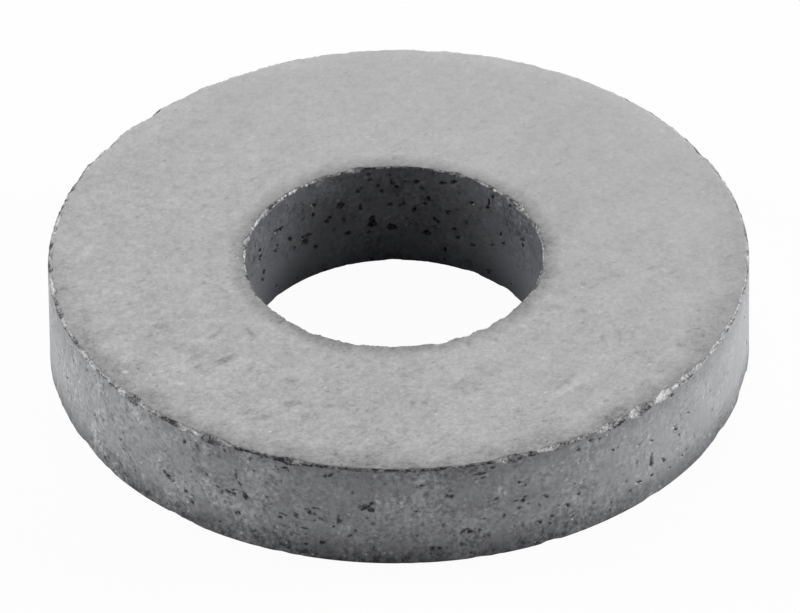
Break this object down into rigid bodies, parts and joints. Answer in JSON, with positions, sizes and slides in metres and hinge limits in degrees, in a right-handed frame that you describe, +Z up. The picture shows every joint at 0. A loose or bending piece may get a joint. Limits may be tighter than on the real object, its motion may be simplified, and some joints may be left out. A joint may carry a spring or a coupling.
{
  "type": "ring magnet",
  "caption": "Flat ceramic ring magnet with a plain through bore, ground faces, as-fired walls and crumbled edges.",
  "frame": {"origin": "centre of the outer wall at the height of the lower ground face, which it rests on", "axes": "+Z up along the axis of the outer wall, from the lower face to the upper one; the bore sits 0.18 mm off that axis towards -X; +Y along a radius"},
  "size_m": [0.0286, 0.0286, 0.0048],
  "materials": {
    "sintered_ferrite": "matte grey: flat faces ground, walls as fired, edges crumbled"
  },
  "bodies": {
    "root": {"magnet_ring": "sintered_ferrite"}
  },
  "joints": []
}
